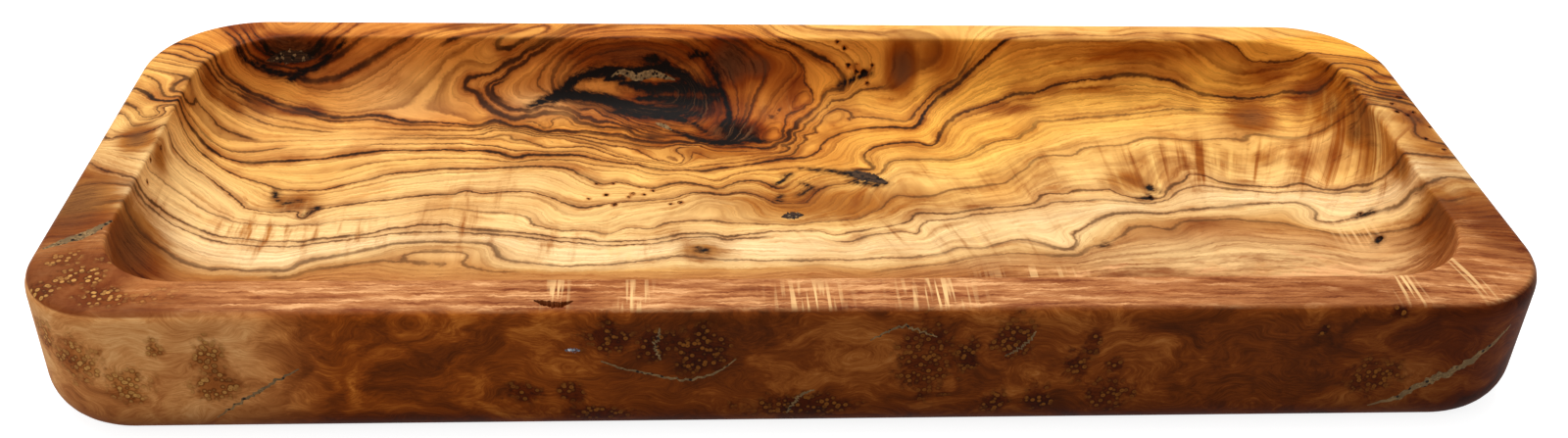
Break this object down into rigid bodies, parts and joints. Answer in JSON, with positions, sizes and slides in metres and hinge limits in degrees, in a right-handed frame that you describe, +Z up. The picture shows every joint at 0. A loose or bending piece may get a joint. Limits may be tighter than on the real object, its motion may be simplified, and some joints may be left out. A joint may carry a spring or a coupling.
{
  "type": "carved wooden serving tray",
  "caption": "Long low tray carved from one block of figured olive wood, with a coved hollow, a flat rim and putty-filled knots and cracks.",
  "frame": {"origin": "middle of the flat underside", "axes": "+X along the tray, -Y towards the burl front face, +Z up out of the hollow"},
  "size_m": [0.3, 0.122, 0.03],
  "materials": {
    "olive_wood": "oiled, satin",
    "putty": "gritty wood filler, sanded flush",
    "dead_knot": "dark knot wood, sanded and oiled",
    "bark": "dark ingrown bark",
    "glaze_fill": "glossy grey resin"
  },
  "bodies": {
    "root": {"tray_body": "olive_wood", "knot_fill_main": "putty", "knot_fill_lower": "putty", "back_knot_core": "dead_knot", "floor_pin_knot": "dead_knot", "floor_bark_pocket": "bark", "rim_crack_fill": "putty", "front_pit_fill": "glaze_fill", "vein_fill_upper": "putty", "vein_fill_long": "putty", "vein_fill_right": "putty", "vein_fill_foot": "putty", "vein_fill_eye": "putty", "front_crack_fill": "putty", "corner_crack_fill": "putty"}
  },
  "joints": []
}
